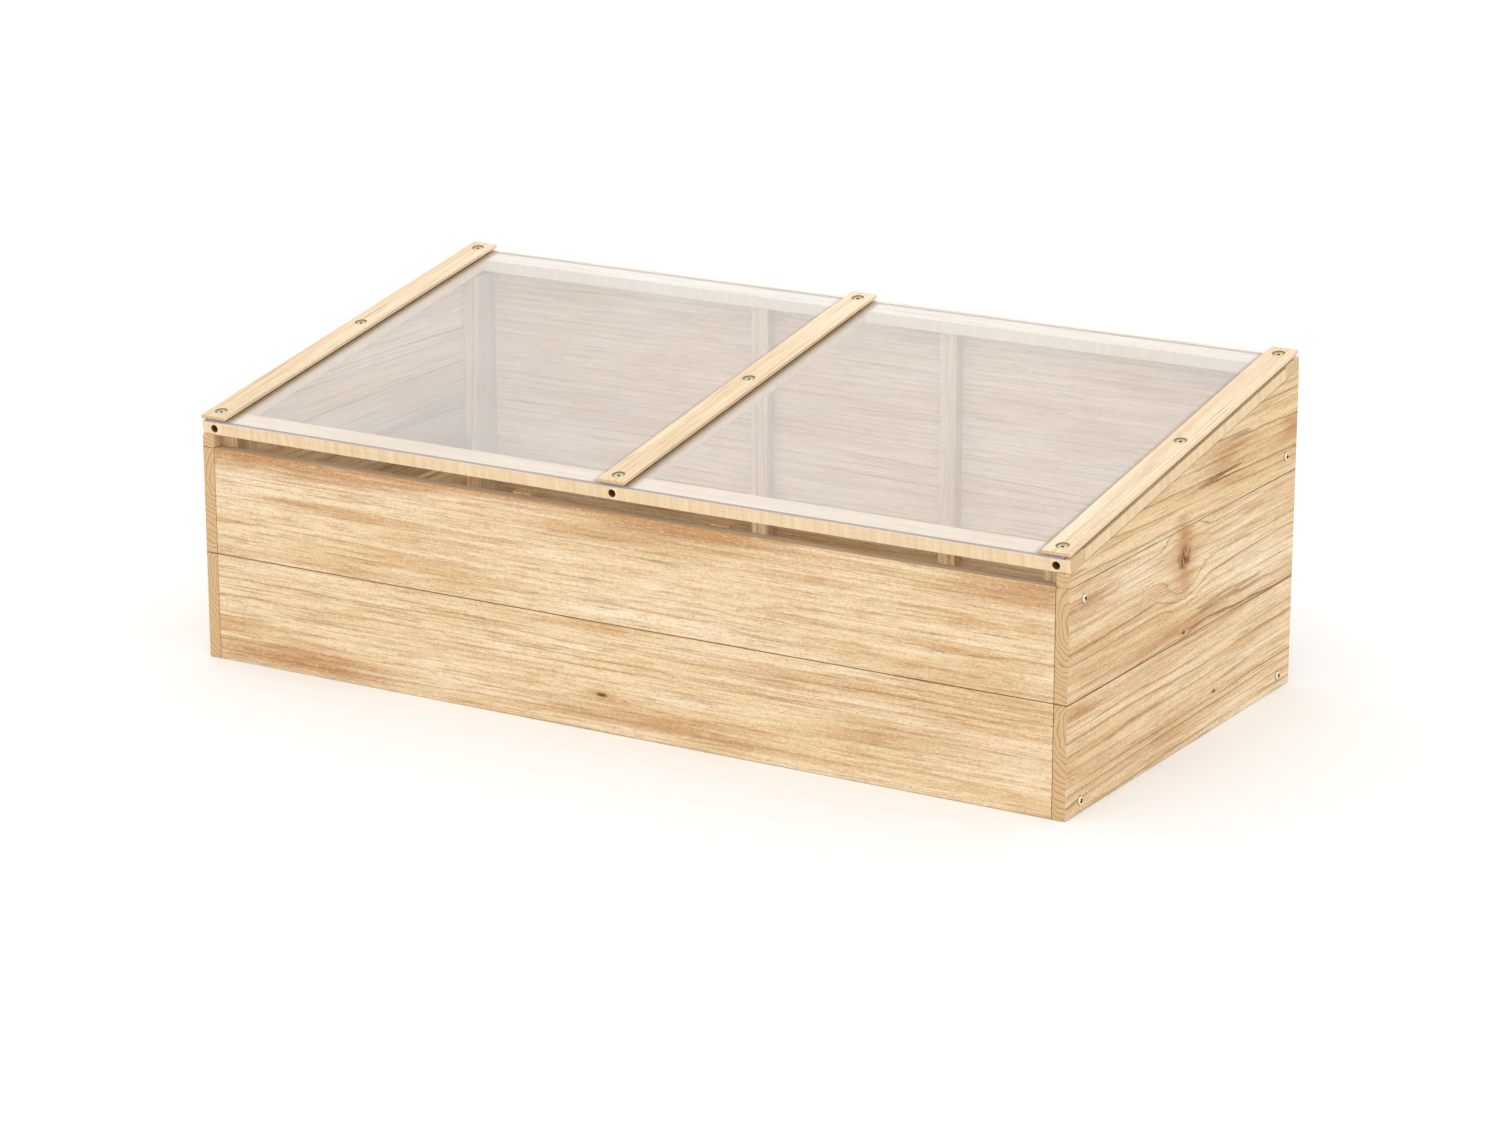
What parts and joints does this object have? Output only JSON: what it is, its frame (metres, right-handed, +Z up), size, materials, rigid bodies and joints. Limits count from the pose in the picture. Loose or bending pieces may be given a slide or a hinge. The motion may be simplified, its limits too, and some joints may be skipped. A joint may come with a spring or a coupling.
{
  "type": "cold frame",
  "caption": "Low timber cold frame with a sloping glazed lid hinged at the back and a ventilation slot under the lid's front rail.",
  "frame": {"origin": "on the ground under the middle of the timber box", "axes": "+X to the right along the long side, +Y to the high back with the hinges, +Z up"},
  "size_m": [1.004, 0.5079, 0.35],
  "materials": {
    "board_wood": "planed fir boards, warm yellow tan with brown grain streaks and small knots",
    "frame_wood": "planed softwood battens, slightly darker",
    "lid_wood": "pale planed softwood",
    "batten_wood": "very pale thin softwood strip",
    "clear_sheet": "clear plastic glazing with a faint milky haze and a blue violet edge",
    "yellow_zinc": "yellow zinc plated steel",
    "zinc": "bright zinc plated steel"
  },
  "bodies": {
    "box": {"front_board_lower": "board_wood", "front_board_upper": "board_wood", "rear_board_lower": "board_wood", "rear_board_middle": "board_wood", "rear_board_upper": "board_wood", "left_board_lower": "board_wood", "left_board_middle": "board_wood", "left_board_wedge": "board_wood", "right_board_lower": "board_wood", "right_board_middle": "board_wood", "right_board_wedge": "board_wood", "post_front_left": "frame_wood", "post_front_right": "frame_wood", "post_rear_left": "frame_wood", "post_rear_right": "frame_wood", "cleat_front_left": "frame_wood", "cleat_front_right": "frame_wood", "cleat_rear_left": "frame_wood", "cleat_rear_right": "frame_wood", "side_screw_left_front_low": "yellow_zinc", "side_screw_left_front_high": "yellow_zinc", "side_screw_left_rear_low": "yellow_zinc", "side_screw_left_rear_high": "yellow_zinc", "side_screw_right_front_low": "yellow_zinc", "side_screw_right_front_high": "yellow_zinc", "side_screw_right_rear_low": "yellow_zinc", "side_screw_right_rear_high": "yellow_zinc", "hinge_left_fixed_leaf": "zinc", "hinge_left_pin": "zinc", "hinge_right_fixed_leaf": "zinc", "hinge_right_pin": "zinc"},
    "lid": {"lid_rail_front": "lid_wood", "lid_rail_rear": "lid_wood", "lid_rail_left": "lid_wood", "lid_rail_middle": "lid_wood", "lid_rail_right": "lid_wood", "batten_left": "batten_wood", "batten_middle": "batten_wood", "batten_right": "batten_wood", "lid_sheet": "clear_sheet", "batten_screw_left_front": "yellow_zinc", "batten_screw_left_centre": "yellow_zinc", "batten_screw_left_rear": "yellow_zinc", "batten_screw_middle_front": "yellow_zinc", "batten_screw_middle_centre": "yellow_zinc", "batten_screw_middle_rear": "yellow_zinc", "batten_screw_right_front": "yellow_zinc", "batten_screw_right_centre": "yellow_zinc", "batten_screw_right_rear": "yellow_zinc", "rail_screw_front_left": "yellow_zinc", "rail_screw_rear_left": "yellow_zinc", "rail_screw_front_middle": "yellow_zinc", "rail_screw_rear_middle": "yellow_zinc", "rail_screw_front_right": "yellow_zinc", "rail_screw_rear_right": "yellow_zinc", "hinge_left_moving_leaf": "zinc", "hinge_right_moving_leaf": "zinc"}
  },
  "joints": [
    {"name": "lid_hinge", "type": "hinge", "parent": "box", "child": "lid", "pos_m": [0, 0.2533, 0.33002], "axis": [-1, 0, 0], "range_deg": [0, 105]}
  ]
}
